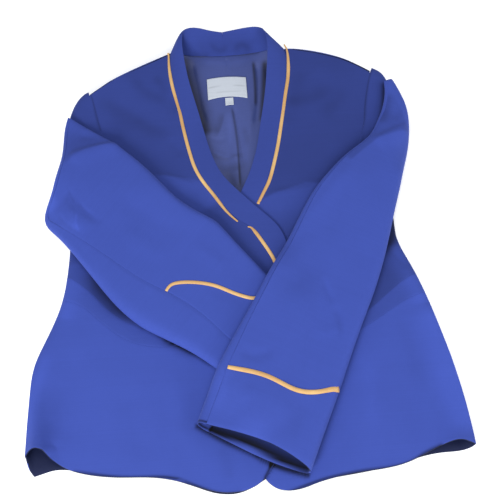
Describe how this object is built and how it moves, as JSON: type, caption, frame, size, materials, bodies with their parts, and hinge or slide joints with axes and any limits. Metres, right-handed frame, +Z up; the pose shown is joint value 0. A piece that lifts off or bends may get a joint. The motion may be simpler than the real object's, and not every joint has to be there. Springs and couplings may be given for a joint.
{
  "type": "flight attendant uniform jacket laid flat with crossed sleeves",
  "caption": "Fitted blue uniform jacket with a stand collar, lapped fronts, peplum and gold piping, laid on its back with the sleeves crossed over the front.",
  "frame": {"origin": "centre of the object's box in plan, on the table that the back panel lies on", "axes": "+Z up out of the table, +Y from hem to collar along the body's length, +X to the wearer's left"},
  "size_m": [0.5386, 0.6676, 0.0441],
  "materials": {
    "cloth": "royal blue wool-blend suiting, plain fine weave, matt with a slight nap",
    "lining": "blue satin lining, soft sheen",
    "trim": "gold satin piping",
    "label": "pale woven label, bare"
  },
  "bodies": {
    "root": {"back_panel": "cloth", "band_left": "cloth", "band_right": "cloth", "cuff_left_top": "cloth", "cuff_right_top": "cloth", "front_left_bodice": "cloth", "front_left_inset": "cloth", "front_left_peplum": "cloth", "front_right_bodice": "cloth", "front_right_inset": "cloth", "front_right_peplum": "cloth", "label": "label", "lining_back": "lining", "piping_cuff_left": "trim", "piping_cuff_right": "trim", "piping_neck_left": "trim", "piping_neck_right_lower": "trim", "piping_neck_right_upper": "trim", "size_tab": "label", "sleeve_left_head": "cloth", "sleeve_left_top": "cloth", "sleeve_left_under": "cloth", "sleeve_right_head": "cloth", "sleeve_right_top": "cloth", "sleeve_right_under": "cloth"}
  },
  "joints": []
}
